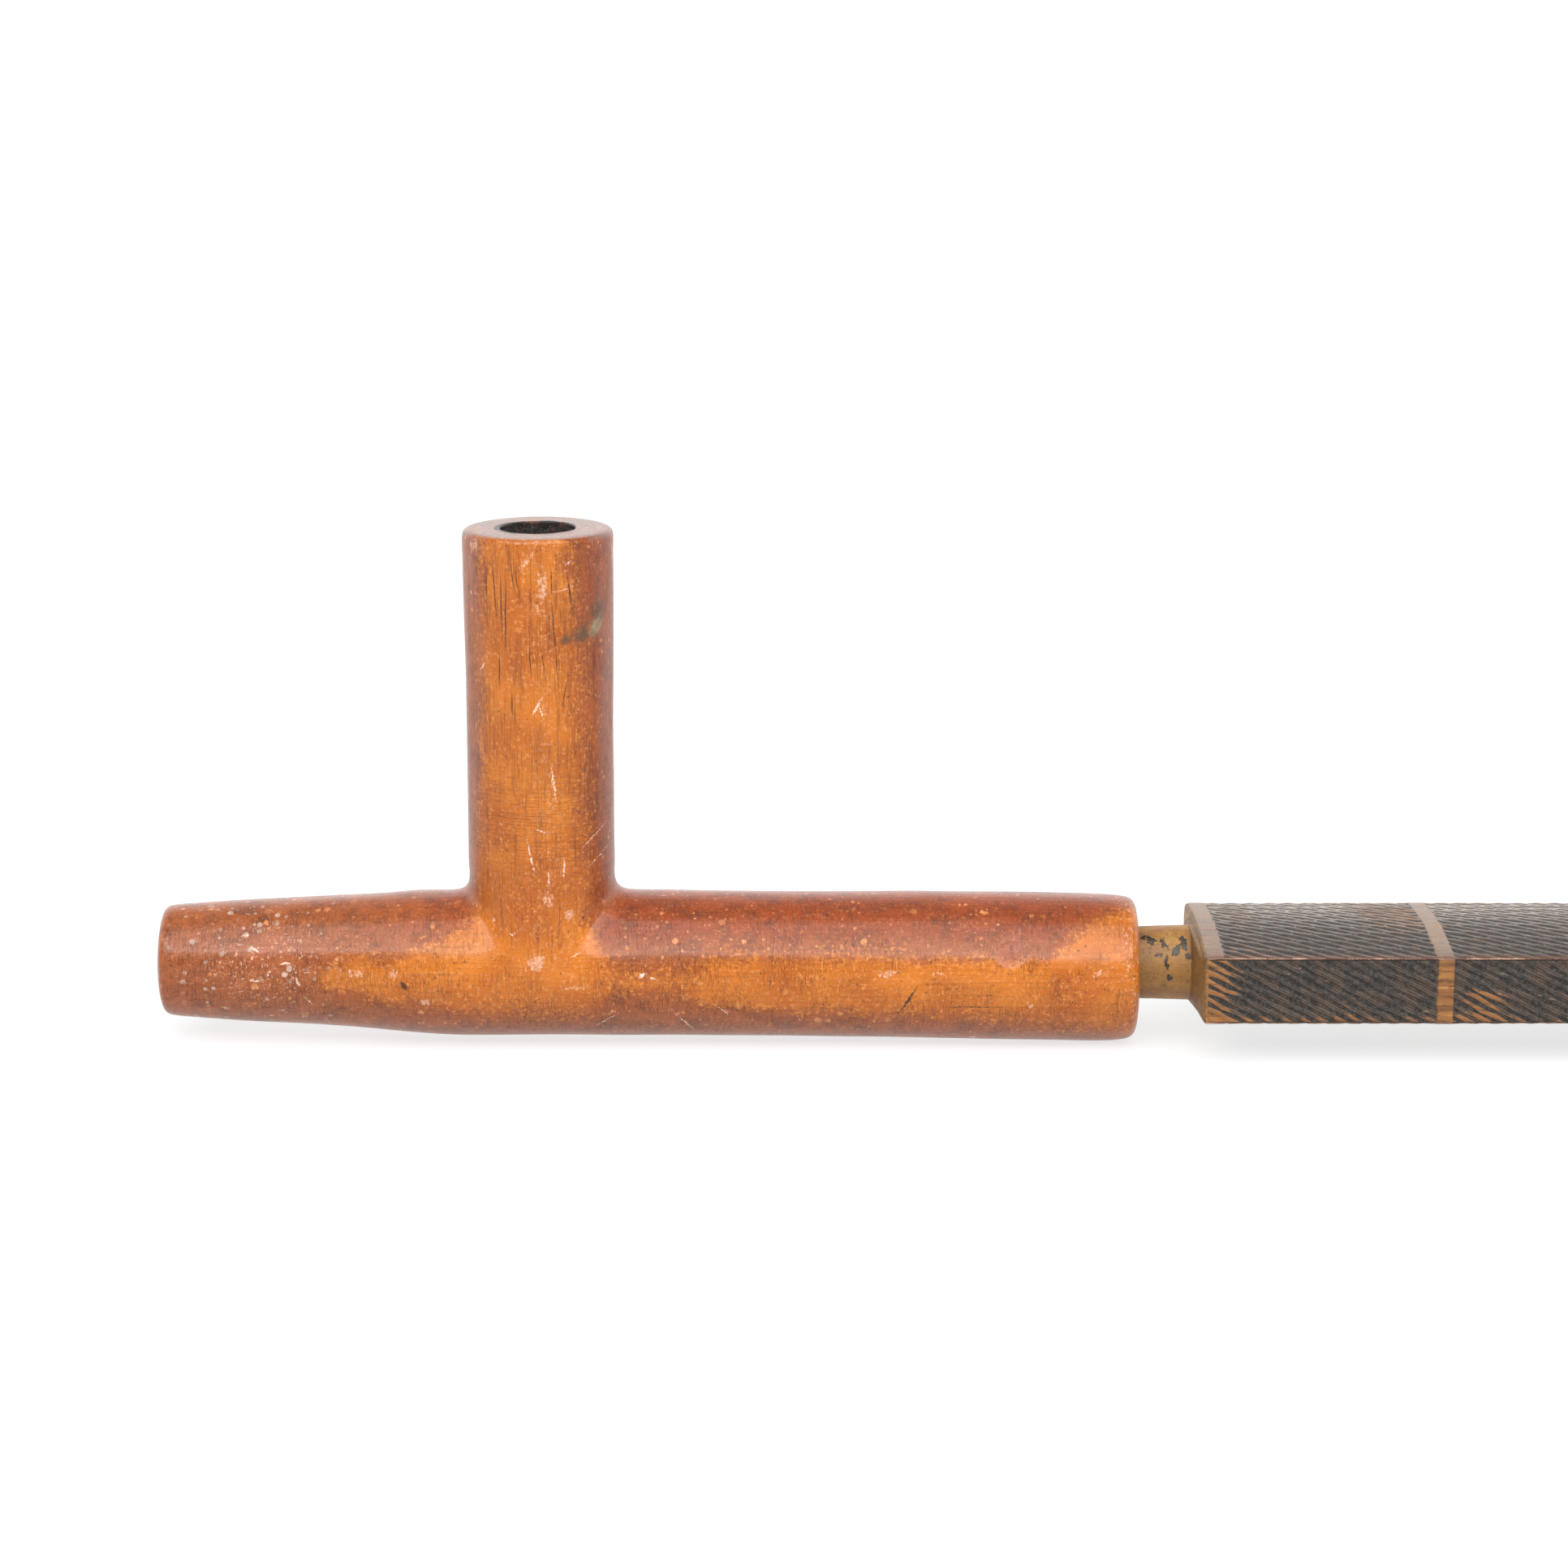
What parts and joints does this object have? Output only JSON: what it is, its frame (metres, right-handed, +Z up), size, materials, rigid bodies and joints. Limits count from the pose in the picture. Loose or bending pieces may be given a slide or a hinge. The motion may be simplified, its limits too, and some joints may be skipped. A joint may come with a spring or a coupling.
{
  "type": "t-shaped stone pipe with wooden stem",
  "caption": "T-shaped smoking pipe: a carved stone head with an upright tubular bowl and a long prow, push-fitted on the tenon of a flat, hot-file-branded wooden stem.",
  "frame": {"origin": "under the middle of the whole pipe, at the height of the lowest point of the head's belly", "axes": "+X from the head along the stem to the mouthpiece, +Z up along the bowl, +Y across the stem's width"},
  "size_m": [0.7562, 0.0456, 0.1098],
  "materials": {
    "stone": "hand-filed and waxed soft stone, orange-brown to red-brown in broad zones, pale flecks and scratches",
    "carbon": "matte black granular carbon crust",
    "stem_wood": "hardwood charred by a hot file in slanting dashes, bronzed grey-black, with plain ochre bands and a plain ochre tenon and mouthpiece"
  },
  "bodies": {
    "head": {"pipe_head": "stone", "carbon_cake": "carbon"},
    "stem": {"stem": "stem_wood"}
  },
  "joints": [
    {"name": "stem_pull", "type": "slide", "parent": "head", "child": "stem", "axis": [1, 0, 0], "range_m": [0, 0.045]}
  ]
}
